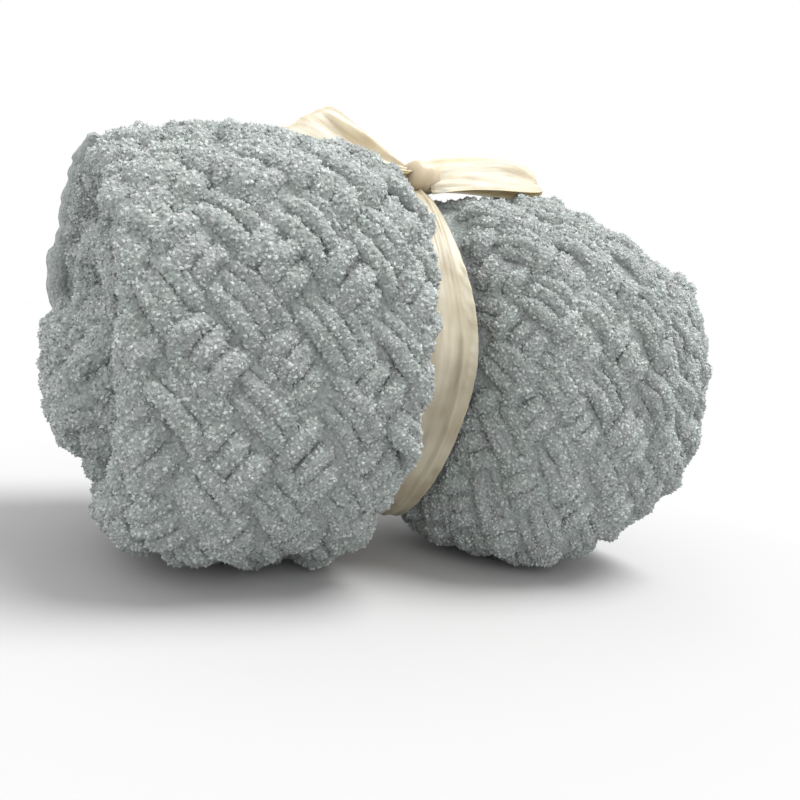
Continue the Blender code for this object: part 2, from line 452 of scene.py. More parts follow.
def flank_strands():
    """The strands of the outer turn, for the near side (-1) and the far side (1)."""
    strands = {-1: [], 1: []}
    for centre, kind in blocks():
        (near, far), (low, high) = flank_limits(centre)
        if not (low < centre.y < high and near < centre.x < far):
            continue
        for line in strands_of(centre, kind):
            middle = line[STRAND_POINTS // 2][0].x
            if abs(middle) < BEHIND_RIBBON:
                continue
            strand = laid([beside_tie(*point) for point in line])
            strands[-1 if middle < 0 else 1].append(strand)
    return strands


flanks = flank_strands()
print("Strands on the outer turn:", len(flanks[-1]), "near and", len(flanks[1]), "far")


# %% [markdown]
# ## The ends of the roll
# At each end the inner turns show as soft ridges that wind in towards the eye. Blocks that were laid straight
# across an end would cut over the grooves. So each ridge is unrolled in the same way as the flanks: one
# direction runs along the spiral and the other over the ridge, from groove to groove. The same rule then
# lays blocks on this long, narrow piece of cloth.

# %% The way along a spiral
SPIRAL_TURNS = 2.35
STEPS_A_TURN = 100
MIDDLE_RADIUS = 0.095
LEAST_RADIUS = 0.016


def along_ridge():
    """The way along the middle of the spiral's ridge, at every hundredth of a turn."""
    ways = [0.0]
    while len(ways) < STEPS_A_TURN * SPIRAL_TURNS:
        radius = max(MIDDLE_RADIUS - TURN * len(ways) / STEPS_A_TURN, LEAST_RADIUS)
        ways.append(ways[-1] + math.tau * radius / STEPS_A_TURN)
    return ways


ridge_ways = along_ridge()
RIDGE_LENGTH = ridge_ways[-1]


def turns_at(y):
    """How many turns along the spiral a height of the unrolled ridge is. It starts at 0 and runs down."""
    after = min(max(bisect.bisect(ridge_ways, -y), 1), len(ridge_ways) - 1)
    share = (-y - ridge_ways[after - 1]) / (ridge_ways[after] - ridge_ways[after - 1])
    return min(max(after - 1 + share, 0), len(ridge_ways) - 1) / STEPS_A_TURN


print("Unrolled, the ridge of one end is", round(RIDGE_LENGTH, 3), "m long")


# %% Strands along the spirals
RIDGE_CLOTH = 0.058
NEAR_EYE = 0.96
SHY_OF_GROOVE = 0.15
CALM_FROM, CALM_TO = SHY_OF_GROOVE * RIDGE_CLOTH, (1 - SHY_OF_GROOVE) * RIDGE_CLOTH
TUCKED_IN_GROOVE = 0.5


def ridge_point(side, turns, across):
    """The point of an end this many turns along the spiral, and across its ridge from 0 to 1."""
    a, b, share = lines_beside(side, LOOSE_EDGE_AT + math.tau * turns)
    rim = a["rim"].lerp(b["rim"], share)
    inward = (EYE - rim).yz
    depth = TURN * (ease(turns % 1.0 / WEDGE) + int(turns) + across)
    y, z = rim.yz + inward * min(depth / inward.length, NEAR_EYE)
    return end_hit(side, y, z) or Vector((rim.x, y, z))


def spiral_strands(side):
    """The strands of one end, laid on its unrolled ridge and put back on the roll."""
    axis = Vector((side, 0, 0))

    def ridge(x, y):
        return ridge_point(side, turns_at(y), min(max(side * x / RIDGE_CLOTH, 0.0), 1.0))

    strands = []
    for centre, kind in blocks():
        centre = centre - Vector((0, RIDGE_LENGTH / 2))
        if not (-RIDGE_LENGTH < centre.y < 0 and 0 < side * centre.x < RIDGE_CLOTH):
            continue
        for line in strands_of(centre, kind):
            strand = []
            for place, depth, girth in line:
                x = side * min(max(side * place.x, 0.0), RIDGE_CLOTH)
                calm = side * min(max(side * x, CALM_FROM), CALM_TO)
                out = (way_out(ridge, calm, place.y) + axis).normalized()
                sunk = depth + TUCKED_IN_GROOVE * abs(place.x - x)
                point = ridge(x, place.y) - out * girth - axis * (sunk - girth)
                strand.append((point, girth, out, sunk))
            strands.append(strand)
    return strands


ends = {side: spiral_strands(side) for side in (-1, 1)}
print("Strands on the ends:", len(ends[-1]), "near and", len(ends[1]), "far")


# %% [markdown]
# ## From lines to chenille yarn
# A strand of chenille is a core with short pile all round, so it looks like a soft sausage with lumps. A
# curve with a round bevel would be as smooth as a cable. So we sweep a ring along each line and push the
# skin in and out with two noises: slow lumps as wide as a finger tip and quick ones as wide as a tuft.
# Geometry Nodes do that for every strand at once, and the sizes stay open as named inputs.

# %% A small builder for node trees
def socket(tree, name, kind, value=None, output=False):
    """Adds a named input or output to a tree."""
    made = tree.interface.new_socket(name, in_out="OUTPUT" if output else "INPUT", socket_type=kind)
    if value is not None:
        made.default_value = value
    return made


def growing_tree(name, sizes):
    """A Geometry Nodes tree with its sizes and its material as named inputs."""
    tree = bpy.data.node_groups.new(name, "GeometryNodeTree")
    socket(tree, "Geometry", "NodeSocketGeometry")
    for size, value in sizes.items():
        socket(tree, size, "NodeSocketInt" if isinstance(value, int) else "NodeSocketFloat", value)
    socket(tree, "Material", "NodeSocketMaterial")
    socket(tree, "Geometry", "NodeSocketGeometry", output=True)
    return tree


def add(tree, kind, inputs=None, **settings):
    """Adds a node, sets its properties, and fills its inputs with values or with other nodes' outputs."""
    node = tree.nodes.new(kind)
    for name, value in settings.items():
        setattr(node, name, value)
    for name, value in (inputs or {}).items():
        target = node.inputs[name]
        if isinstance(value, bpy.types.NodeSocket):
            tree.links.new(value, target)
        else:
            target.default_value = value
    return node


def math_node(tree, operation, a, b):
    """What a calculation with two values gives. Each is a number or another node's output."""
    return add(tree, "ShaderNodeMath", {0: a, 1: b}, operation=operation).outputs[0]


# %% The yarn tree
# A noise gives values round 0.5 that seldom reach 0.2 or 0.8. We stretch them to between about -1 and 1.
STRETCH = 3.0
YARN_SIZES = {
    "Sides": 8, "Lump Size": 0.010, "Lump Height": 0.0018, "Tuft Size": 0.0045, "Tuft Height": 0.0010,
    "Seed": 3.0,
}


def yarn_tree():
    """A tree that turns lines into yarn. Each line's points carry their girth."""
    tree = growing_tree("Chenille yarn", YARN_SIZES)
    given = add(tree, "NodeGroupInput").outputs
    curve = add(tree, "GeometryNodeMeshToCurve", {"Mesh": given["Geometry"]}).outputs["Curve"]
    girth = add(tree, "GeometryNodeInputNamedAttribute", {"Name": "girth"}).outputs["Attribute"]
    ring = add(tree, "GeometryNodeCurvePrimitiveCircle", {"Resolution": given["Sides"], "Radius": 1.0})
    skin = add(tree, "GeometryNodeCurveToMesh", {
        "Curve": curve, "Profile Curve": ring.outputs["Curve"], "Scale": girth, "Fill Caps": True,
    }).outputs["Mesh"]
    push = None
    for size, height in (("Lump Size", "Lump Height"), ("Tuft Size", "Tuft Height")):
        scale = math_node(tree, "DIVIDE", 1.0, given[size])
        cloud = add(tree, "ShaderNodeTexNoise", {"W": given["Seed"], "Scale": scale, "Detail": 0.0},
                    noise_dimensions="4D").outputs[0]
        swing = math_node(tree, "MULTIPLY", math_node(tree, "SUBTRACT", cloud, 0.5), STRETCH)
        swing = math_node(tree, "MULTIPLY", swing, given[height])
        push = swing if push is None else math_node(tree, "ADD", push, swing)
    normal = add(tree, "GeometryNodeInputNormal").outputs["Normal"]
    offset = add(tree, "ShaderNodeVectorMath", {0: normal, "Scale": push}, operation="SCALE").outputs[0]
    skin = add(tree, "GeometryNodeSetPosition", {"Geometry": skin, "Offset": offset}).outputs[0]
    skin = add(tree, "GeometryNodeSetShadeSmooth", {0: skin}).outputs[0]
    skin = add(tree, "GeometryNodeRealizeInstances", {0: skin}).outputs[0]
    skin = add(tree, "GeometryNodeSetMaterial", {"Geometry": skin, "Material": given["Material"]}).outputs[0]
    tree.links.new(skin, add(tree, "NodeGroupOutput").inputs["Geometry"])
    return tree


yarn = yarn_tree()
print(yarn.name, "has", len(yarn.nodes), "nodes")


# %% Running a tree over lines
def grow(name, lines, tree, values):
    """Runs a tree over lines of (point, girth, way out, depth), and gives back a plain mesh object."""
    data = bpy.data.meshes.new(name)
    points, edges, girths, outs, sinks = [], [], [], [], []
    for line in lines:
        first = len(points)
        points += [point for point, _, _, _ in line]
        girths += [girth for _, girth, _, _ in line]
        outs += [c for _, _, out, _ in line for c in out]
        sinks += [sunk - girth for _, girth, _, sunk in line]
        edges += [(first + k, first + k + 1) for k in range(len(line) - 1)]
    data.from_pydata(points, edges, [])
    data.attributes.new("girth", "FLOAT", "POINT").data.foreach_set("value", girths)
    data.attributes.new("out", "FLOAT_VECTOR", "POINT").data.foreach_set("vector", outs)
    data.attributes.new("sunk", "FLOAT", "POINT").data.foreach_set("value", sinks)
    thing = new_object(name, data)
    modifier = thing.modifiers.new("Grow", "NODES")
    modifier.node_group = tree
    for item in tree.interface.items_tree:
        if item.in_out == "INPUT" and item.name in values:
            modifier[item.identifier] = values[item.name]
    return keep_result(thing, modifier)


# %% [markdown]
# ## Pile
# What makes chenille plush is its pile: short tufts that stand out of the yarn on all sides and lean a
# little, each at its own slant. Hair particles could make them, but they don't become part of a mesh. So a
# second tree takes the finished yarn, scatters points over the side that can be seen, and stands one small
# three-sided tuft on each. Every tuft also gets a number of its own, which the material turns into a lighter
# or darker shade.

# %% The pile tree
FACES_OUT = 0.08
RADIUS_OF_WIDTH = 0.58
ROOTED = 0.35
SMALLEST, LARGEST = 0.55, 1.35
PILE_SIZES = {
    "Tufts Per Square Metre": 185000.0, "Tuft Width": 0.0031, "Tuft Length": 0.0021, "Lean": 0.45,
    "Deepest": 0.0050,
}


def pile_tree(yarn):
    """A tree that grows tufts on the yarn, where it faces out and isn't sunk too deep to be seen."""
    tree = growing_tree("Chenille pile", PILE_SIZES)
    given = add(tree, "NodeGroupInput").outputs
    body = add(tree, "GeometryNodeGroup", {"Geometry": given["Geometry"], "Material": given["Material"]},
               node_tree=yarn)
    out = add(tree, "GeometryNodeInputNamedAttribute", {"Name": "out"}, data_type="FLOAT_VECTOR").outputs[0]
    normal = add(tree, "GeometryNodeInputNormal").outputs["Normal"]
    facing = add(tree, "ShaderNodeVectorMath", {0: normal, 1: out}, operation="DOT_PRODUCT").outputs["Value"]
    facing = add(tree, "FunctionNodeCompare", {"A": facing, "B": FACES_OUT},
                 operation="GREATER_THAN").outputs[0]
    sunk = add(tree, "GeometryNodeInputNamedAttribute", {"Name": "sunk"}).outputs["Attribute"]
    shallow = add(tree, "FunctionNodeCompare", {"A": sunk, "B": given["Deepest"]},
                  operation="LESS_THAN").outputs[0]
    seen = add(tree, "FunctionNodeBooleanMath", {0: facing, 1: shallow}).outputs[0]
    points = add(tree, "GeometryNodeDistributePointsOnFaces", {
        "Mesh": body.outputs[0], "Selection": seen, "Density": given["Tufts Per Square Metre"], "Seed": 4,
    })
    tilt = add(tree, "FunctionNodeRandomValue", {"Min": (-1, -1, -1), "Max": (1, 1, 1), "Seed": 5},
               data_type="FLOAT_VECTOR").outputs[0]
    tilt = add(tree, "ShaderNodeVectorMath", {0: tilt, "Scale": given["Lean"]}, operation="SCALE").outputs[0]
    tilt = add(tree, "ShaderNodeVectorMath", {0: points.outputs["Normal"], 1: tilt}).outputs[0]
    turn = add(tree, "FunctionNodeAlignRotationToVector", {"Vector": tilt}, axis="Z").outputs[0]
    radius = math_node(tree, "MULTIPLY", given["Tuft Width"], RADIUS_OF_WIDTH)
    tuft = add(tree, "GeometryNodeMeshCone", {
        "Vertices": 3, "Radius Bottom": radius, "Radius Top": 0.0, "Depth": given["Tuft Length"],
    }).outputs["Mesh"]
    down = math_node(tree, "MULTIPLY", given["Tuft Length"], -ROOTED)
    down = add(tree, "ShaderNodeCombineXYZ", {"Z": down}).outputs[0]
    tuft = add(tree, "GeometryNodeTransform", {"Geometry": tuft, "Translation": down}).outputs[0]
    size = add(tree, "FunctionNodeRandomValue", {2: SMALLEST, 3: LARGEST, "Seed": 6},
               data_type="FLOAT").outputs[1]
    pile = add(tree, "GeometryNodeInstanceOnPoints", {
        "Points": points.outputs["Points"], "Instance": tuft, "Rotation": turn, "Scale": size,
    }).outputs[0]
    # Only the tufts get this number. The yarn under them reads 0, so the material paints it in the darkest
    # tone, as shade under the pile.
    shade = add(tree, "FunctionNodeRandomValue", {2: 0.0, 3: 1.0, "Seed": 7},
                data_type="FLOAT").outputs[1]
    pile = add(tree, "GeometryNodeStoreNamedAttribute", {"Geometry": pile, "Name": "shade", "Value": shade},
               data_type="FLOAT", domain="INSTANCE").outputs[0]
    pile = add(tree, "GeometryNodeRealizeInstances", {0: pile}).outputs[0]
    pile = add(tree, "GeometryNodeSetShadeSmooth", {0: pile}).outputs[0]
    pile = add(tree, "GeometryNodeSetMaterial", {"Geometry": pile, "Material": given["Material"]}).outputs[0]
    tree.links.new(pile, add(tree, "NodeGroupOutput").inputs["Geometry"])
    return tree


pile = pile_tree(yarn)
print(pile.name, "has", len(pile.nodes), "nodes")


# %% [markdown]
# ## Plush chenille
# The yarn is a light grey with a breath of green, matte, and mottled, because the pile parts into tufts that
# catch the light on one side. A picture of plush could be wrapped round it, but its seams would show and it
# would blur close up. Noise has neither fault. It breaks the colour up at the scale of a tuft, and the bump
# follows the same tufts. Where the bump is low the colour is darker, which is painted shade in its hollows,
# and the yarn and the inner cloth between the tufts get the darkest tone, painted shade under the pile. A
# little sheen lightens the edges, as on velvet.

# %% Two helpers for colours
def two_tones(tree, value, low, high):
    """Turns a value into a colour between two, which are given as (value, (red, green, blue))."""
    ramp = add(tree, "ShaderNodeValToRGB", {"Fac": value})
    for element, (position, colour) in zip(ramp.color_ramp.elements, (low, high)):
        element.position = position
        element.color = (*colour, 1)
    return ramp.outputs["Color"]


def tuft_group():
    """A shader group that gives the relief of the pile as a normal, and the same height as a value that
    darkens the colour in the hollows as painted shade.
    """
    tree = bpy.data.node_groups.new("Pile tufts", "ShaderNodeTree")
    socket(tree, "Size", "NodeSocketFloat", 0.002)
    socket(tree, "Relief", "NodeSocketFloat", 0.0006)
    socket(tree, "Painted Hollow Shade", "NodeSocketFloat", output=True)
    socket(tree, "Normal", "NodeSocketVector", output=True)
    given = add(tree, "NodeGroupInput").outputs
    place = add(tree, "ShaderNodeTexCoord").outputs["Object"]
    scale = math_node(tree, "DIVIDE", 1.0, given["Size"])
    fine = add(tree, "ShaderNodeTexNoise", {
        "Vector": place, "Scale": scale, "Detail": 3.0, "Roughness": 0.65,
    })
    cells = add(tree, "ShaderNodeTexVoronoi", {"Vector": place, "Scale": scale}).outputs["Distance"]
    height = math_node(tree, "SUBTRACT", fine.outputs[0], math_node(tree, "MULTIPLY", cells, 0.5))
    bump = add(tree, "ShaderNodeBump", {"Strength": 1.0, "Distance": given["Relief"], "Height": height})
    leave = add(tree, "NodeGroupOutput")
    # The height that drives the bump also goes out for the colour, which is darker where it is low: painted
    # shade in the hollows.
    tree.links.new(height, leave.inputs["Painted Hollow Shade"])
    tree.links.new(bump.outputs["Normal"], leave.inputs["Normal"])
    return tree


tufts = tuft_group()
print(tufts.name, "has", len(tufts.nodes), "nodes")


# %% Chenille material
# From dark to light. The dark end is painted shade, which the yarn between the tufts and the hollows of the
# bump get; between the ends, each tuft has its own tone.
PILE_TONES_AND_PAINTED_SHADE = (0.05, (0.200, 0.216, 0.208)), (0.82, (0.640, 0.680, 0.660))
TINTS = (0.35, (0.965, 1.0, 0.985)), (0.65, (1.0, 0.985, 1.0))
TINT_WAVES = 55.0


def chenille_material():
    """The colour, the grain and the soft sheen of plush yarn."""
    material = bpy.data.materials.new("plush chenille")
    material.use_nodes = True
    tree = material.node_tree
    shader = tree.nodes["Principled BSDF"]
    grain = add(tree, "ShaderNodeGroup", {"Size": 0.0022, "Relief": 0.0015}, node_tree=tufts)
    # Yarn and cloth without tufts read 0 here and get the darkest tone: painted shade under the pile. Half of
    # the value is a tuft's own tone and half is painted shade from the bump's height.
    shade = add(tree, "ShaderNodeAttribute", attribute_name="shade").outputs["Fac"]
    tuft_tone_and_painted_shade = math_node(tree, "ADD", math_node(tree, "MULTIPLY", shade, 0.5),
                       math_node(tree, "MULTIPLY", grain.outputs["Painted Hollow Shade"], 0.5))
    place = add(tree, "ShaderNodeTexCoord").outputs["Object"]
    drift = add(tree, "ShaderNodeTexNoise", {"Vector": place, "Scale": TINT_WAVES, "Detail": 1.0}).outputs[0]
    colour = add(tree, "ShaderNodeMix", {
        "Factor": 1.0, 6: two_tones(tree, tuft_tone_and_painted_shade, *PILE_TONES_AND_PAINTED_SHADE), 7: two_tones(tree, drift, *TINTS),
    }, data_type="RGBA", blend_type="MULTIPLY").outputs[2]
    tree.links.new(colour, shader.inputs["Base Color"])
    tree.links.new(grain.outputs["Normal"], shader.inputs["Normal"])
    shader.inputs["Roughness"].default_value = 0.95
    shader.inputs["Specular IOR Level"].default_value = 0.15
    shader.inputs["Sheen Weight"].default_value = 0.25
    shader.inputs["Sheen Roughness"].default_value = 0.6
    shader.inputs["Sheen Tint"].default_value = (0.9, 0.92, 0.91, 1)
    return material


chenille = chenille_material()
print(chenille.name, "goes from", PILE_TONES_AND_PAINTED_SHADE[0][1], "between the tufts to", PILE_TONES_AND_PAINTED_SHADE[1][1])


# %% [markdown]
# ## The knitted pieces
# The blanket is one piece of knitting. As one mesh it would be too heavy for the files that it is saved to,
# so we grow it in parts that meet where nobody sees it: the two ends, and the front and the back of each
# half. Each part is a piece of yarn and, on top of it, a piece of pile.

# %% Growing the knitted pieces
KNIT = {"knit_near_end": ends[-1], "knit_far_end": ends[1]}
for side, half in (-1, "near"), (1, "far"):
    for name, facing in ("front", -1), ("back", 1):
        KNIT[f"knit_{half}_{name}"] = [s for s in flanks[side] if s[STRAND_POINTS // 2][2].y * facing > 0]


def report(piece):
    """Prints how many triangles a piece has."""
    print(piece.name, "has", sum(len(p.vertices) - 2 for p in piece.data.polygons), "triangles")


knit_pieces = []
for name, lines in KNIT.items():
    knit_pieces.append(grow(name, lines, yarn, {"Material": chenille}))
    knit_pieces.append(grow(name + "_pile", lines, pile, {"Material": chenille}))
for piece in knit_pieces:
    report(piece)


# %% [markdown]
# ## The hem
# At the back of the near end a smooth edge of the blanket peeps out behind the knit. It is one thick fold
# without pile, which follows the rim and stands off it a little half way down. It could be a strip with a
# rolled edge. The yarn tree makes it more simply: two fat lines side by side, the inner one closing the gap
# to the rim, and no pile on them.

# %% The line of the hem
HEM_FROM, HEM_TO = math.radians(84), math.radians(-44)
HEM_POINTS = 64
HEM_GIRTH = 0.0088
HEM_TIP_GIRTH = 0.30
HEM_OFF_RIM = 0.013
HEM_LEAVES, HEM_LEFT = math.radians(32), math.radians(8)
HEM_COMES_BACK, HEM_IS_BACK = math.radians(4), math.radians(-26)
HEM_LINES = (1.0, 1.0), (0.4, 0.9)
CALM_STEP = math.radians(2)
CALM_STEPS = 6


def calm_rim(angle):
    """The near rim round this angle, averaged, so that the fold runs smoothly."""
    spots = []
    for step in range(-CALM_STEPS, CALM_STEPS + 1):
        a, b, share = lines_beside(-1, angle + CALM_STEP * step)
        spots.append(a["rim"].lerp(b["rim"], share))
    return sum(spots, Vector()) / len(spots)


def hem_line(reach, width):
    """One line of the fold, for a share of the full way off the rim and a share of the full girth."""
    line = []
    for k in range(HEM_POINTS):
        share = k / (HEM_POINTS - 1)
        angle = HEM_FROM + (HEM_TO - HEM_FROM) * share
        off = reach * HEM_OFF_RIM * ease((HEM_LEAVES - angle) / (HEM_LEAVES - HEM_LEFT))
        off *= ease((angle - HEM_IS_BACK) / (HEM_COMES_BACK - HEM_IS_BACK))
        swell = math.sin(math.pi * share) ** 0.5
        girth = width * HEM_GIRTH * (HEM_TIP_GIRTH + (1 - HEM_TIP_GIRTH) * swell)
        line.append((calm_rim(angle) - Vector((off, 0, 0)), girth, Vector((-1, 0, 0)), girth))
    return line


hem = grow("knit_hem", [hem_line(*shares) for shares in HEM_LINES], yarn, {"Material": chenille})
knit_pieces.append(hem)
report(hem)


# %% [markdown]
# ## The cloth behind the strands
# Between the blocks are deep pits. What shows at their bottom is the same yarn, further in. More layers of
# strands could fill them, but nobody would see more than a few threads. A plain copy of the roll, drawn in
# by more than a strand's radius, closes the pits, and it is the soft filled form that the strands lie on.

# %% The inner cloth
DRAWN_IN = 0.0075


def inner_cloth():
    """The roll itself, a little thinner, in the same chenille."""
    mesh = merged("blanket")
    bmesh.ops.recalc_face_normals(mesh, faces=mesh.faces)
    mesh.normal_update()
    moved = [(v, v.co - v.normal * DRAWN_IN) for v in mesh.verts]
    for v, place in moved:
        v.co = place
    thing = as_object("inner_cloth", mesh)
    # Without a tuft number this cloth takes the darkest tone of the chenille: painted shade at the bottom of
    # the pits.
    thing.data.materials.append(chenille)
    return thing


core = inner_cloth()
report(core)


# %% [markdown]
# ## The ribbon
# The ribbon is cream satin, 5 cm wide. Its band lies over the drawn-in waist. A cloth simulation could pull
# it tight, but it would leave to luck where the pleats fall. So we cast rays at the roll once more, lay a
# strip just outside where they hit, and give it the soft lengthwise pleats that a pulled ribbon gets.

# %% Ribbon strips
RIBBON_WIDTH = 0.050
RIBBON_THICKNESS = 0.0007


def sheet_mesh(name, rows, closed=False):
    """A strip from rows of points, all of the same length, with a map of its length and width in metres."""
    mesh = bmesh.new()
    laid_out = mesh.loops.layers.uv.new("cloth")
    grid = [[mesh.verts.new(p) for p in row] for row in rows]
    middle = len(rows[0]) // 2
    ways = measured([row[middle] for row in rows + rows[:1]])
    across = measured(rows[len(rows) // 4])
    last = len(rows) if closed else len(rows) - 1
    for r in range(last):
        a, b = grid[r], grid[(r + 1) % len(grid)]
        for k in range(len(a) - 1):
            face = mesh.faces.new((a[k], b[k], b[k + 1], a[k + 1]))
            for loop, (row, column) in zip(face.loops, ((r, k), (r + 1, k), (r + 1, k + 1), (r, k + 1))):
                loop[laid_out].uv = (ways[row], across[column])
    bmesh.ops.recalc_face_normals(mesh, faces=mesh.faces)
    return as_object(name, mesh)


def thicken(thing, thickness):
    """Gives a strip its thickness, half to each side."""
    wall = thing.modifiers.new("Thickness", "SOLIDIFY")
    wall.thickness = thickness
    wall.offset = 0
    return keep_result(thing, wall)


# %% Pleats
# For each pleat: its place across the ribbon, how far its long side reaches, and its height.
PLEATS = (
    (0.0150, 0.0045, 0.0032),
    (0.0035, 0.0060, 0.0009),
    (-0.0070, 0.0050, 0.0012),
    (-0.0170, 0.0060, 0.0008),
)
FOLD_EDGE = 0.0008
PLEATS_DRIFT = 0.0022
NEXT_PLEAT = 1.9
MEAN_PLEAT, PLEAT_SWAY = 0.65, 0.35


def pleats_at(x, angle):
    """The height of the pleats at a place across the ribbon: each has one sharp side and one long one."""
    lift = 0.0
    for number, (at, wide, high) in enumerate(PLEATS):
        drift = PLEATS_DRIFT * math.sin(2 * angle + number * NEXT_PLEAT)
        beside = x - at - drift
        fade = MEAN_PLEAT + PLEAT_SWAY * math.sin(angle * (number + 2) + number)
        lift += high * fade * math.exp(-beside / wide if beside > 0 else beside / FOLD_EDGE)
    return lift


print("The ribbon has", len(PLEATS), "pleats, up to", max(high for _, _, high in PLEATS), "m high")


# %% The band
BAND_ROWS, BAND_COLUMNS = 260, 48
BAND_OFF = 0.0012
KNOT_SIDE = 0.0010
AT_KNOT = 0.50
GATHER_REACH = 0.80
BUNCHES_UP = 0.6
CREASE = 0.0005
CREASES_ACROSS, CREASES_ROUND = 90, 2.5


def ribbon_band():
    """The band round the waist: gathered a little below the knot, and pleated lengthwise."""
    rows = []
    for k in range(BAND_ROWS):
        angle = math.tau * k / BAND_ROWS
        from_top = math.remainder(angle - math.pi / 2, math.tau)
        gather = 1 - AT_KNOT * math.exp(-((from_top / GATHER_REACH) ** 2))
        row = []
        for c in range(BAND_COLUMNS + 1):
            x = RIBBON_WIDTH * (c / BAND_COLUMNS - 0.5)
            placed = KNOT_SIDE + (x - KNOT_SIDE) * gather
            crease = CREASE * noise.noise(Vector((placed * CREASES_ACROSS, angle * CREASES_ROUND, 0)))
            lift = BAND_OFF + pleats_at(x, angle) * (1 + BUNCHES_UP - BUNCHES_UP * gather) + crease
            spot, _, _, _ = roll.ray_cast(TIE + Vector((placed, 0, 0)), radial(angle))
            row.append(spot + radial(angle) * lift)
        rows.append(row)
    return thicken(sheet_mesh("ribbon_band_satin", rows, closed=True), RIBBON_THICKNESS)


band = ribbon_band()
report(band)


# %% [markdown]
# ## The bow
# Each loop of the bow is a length of the same ribbon. It leaves the knot low down, turns round at its tip
# and comes back on top. At the knot it is bunched and stands on edge, and towards the tip it opens out. A
# plane could be bent into a loop by hand. We let a formula place each row across the ribbon instead, so that
# one function makes both loops and their numbers can be tried out. The knot is a short wrap of ribbon, which
# a squashed and creased ball shows well enough at its size of 3 cm.

# %% Sizes of the bow
# root: where the middle of the loop leaves the knot. start: the way across the ribbon there.
# far, near: the two corners of the tip. puff: how far the two layers stand apart.
# lift: how far the loop rises half way. press: how far the front of its upper layer sags.
# gather: its width at the knot, in ribbon widths. open: a smaller number opens it sooner.
# taper: how much the tip narrows. fold: the height of its long folds.
LOOPS = {
    "bow_loop_near": {
        "root": TIE + Vector((0.0060, 0.0020, 0.1240)), "start": Vector((0.0, -1.0, -0.3)),
        "far": Vector((-0.0600, 0.0210, 0.3020)), "near": Vector((-0.0975, 0.0010, 0.2745)),
        "puff": 0.010, "lift": -0.005, "press": 0.003, "gather": 0.36,
        "open": 0.9, "taper": 0.0, "fold": 0.0026,
    },
    "bow_loop_far": {
        "root": TIE + Vector((0.0110, -0.0020, 0.1197)), "start": Vector((0.0, -0.75, -0.66)),
        "far": Vector((0.1060, 0.0110, 0.2895)), "near": Vector((0.0945, -0.0240, 0.2665)),
        "puff": 0.010, "lift": 0.005, "press": 0.006, "gather": 0.68,
        "open": 0.35, "taper": 0.45, "fold": 0.0020,
    },
}
for name, loop in LOOPS.items():
    reach = ((loop["far"] + loop["near"]) / 2 - loop["root"]).length
    print(name, "reaches", round(reach, 3), "m from the knot")


# %% Bow loops
LOOP_ROWS, LOOP_COLUMNS = 84, 32
ROOT_FOLD = 0.0018
EDGE_RIPPLE = 0.0007


def loop_middles(loop):
    """Along the loop: its angle on the way out and back, how far out it is (0 to 1), and its middle."""
    out = (loop["far"] + loop["near"]) / 2 - loop["root"]
    up = out.cross(loop["near"] - loop["far"]).normalized()
    up *= math.copysign(1.0, up.z)
    middles = []
    for k in range(LOOP_ROWS + 1):
        t = math.pi * (0.015 + 0.97 * k / LOOP_ROWS)
        go = math.sin(t)
        layer = -0.001 * math.cos(t) - loop["puff"] / 2 * math.sin(2 * t)
        rise = Vector((0, 0, loop["lift"] * 4 * go * (1 - go)))
        middles.append((t, go, loop["root"] + out * go + up * layer + rise))
    return middles


def bow_loop(name, loop):
    """A loop that goes out from the knot low down, turns round at its tip and comes back on top."""
    across = loop["near"] - loop["far"]
    start = loop["start"].normalized() * RIBBON_WIDTH * loop["gather"]
    middles = loop_middles(loop)
    rows = []
    for k, (t, go, middle) in enumerate(middles):
        slope = middles[min(k + 1, LOOP_ROWS)][2] - middles[max(k - 1, 0)][2]
        width = start.lerp(across, go ** loop["open"]) * (1 - loop["taper"] * go**12)
        normal = slope.cross(width).normalized()
        upper = ease((math.cos(math.pi - t) + 0.15) / 0.5)
        root_fold = ROOT_FOLD * (1 - 0.8 * go)
        long_fold = loop["fold"] * math.sin(math.pi * go**1.4)
        press = loop["press"] * upper * math.sin(math.pi * go**1.5) ** 0.6
        row = []
        for c in range(LOOP_COLUMNS + 1):
            share = c / LOOP_COLUMNS
            fold = root_fold * math.cos(math.tau * 2.5 * share + 0.6)
            fold += long_fold * math.cos(math.tau * 1.6 * share + 0.9 + 1.5 * go)
            fold += EDGE_RIPPLE * math.sin(5 * share + 9 * go) * go
            sag = Vector((0, 0, press * ease((share - 0.35) / 0.65)))
            row.append(middle + width * (share - 0.5) + normal * fold - sag)
        rows.append(row)
    return thicken(sheet_mesh(name + "_satin", rows), RIBBON_THICKNESS)


loops = {name: bow_loop(name, loop) for name, loop in LOOPS.items()}
for loop in loops.values():
    report(loop)


# %% Knot
KNOT_AT = TIE + Vector((0.0120, 0.0, 0.1216))
KNOT_SIZE = Vector((0.0240, 0.0330, 0.0254))
KNOT_DRAWN_IN = 0.16
KNOT_CREASES = 0.03
KNOT_SQUARED = 0.8


def knot():
    """A ball, a little squared, drawn in at its middle and creased, and brought to the knot's size."""
    mesh = bmesh.new()
    bmesh.ops.create_uvsphere(mesh, u_segments=48, v_segments=32, radius=0.5)
    for v in mesh.verts:
        waist = 1 - KNOT_DRAWN_IN * math.cos(math.pi * v.co.x) ** 2
        crease = 1 + KNOT_CREASES * math.cos(17 * v.co.x + 4 * v.co.y)
        for axis in (1, 2):
            squared = math.copysign(abs(2 * v.co[axis]) ** KNOT_SQUARED, v.co[axis])
            v.co[axis] = 0.5 * waist * crease * squared
        v.co = v.co * KNOT_SIZE + KNOT_AT
    return as_object("bow_knot_satin", mesh)


tied = knot()
report(tied)


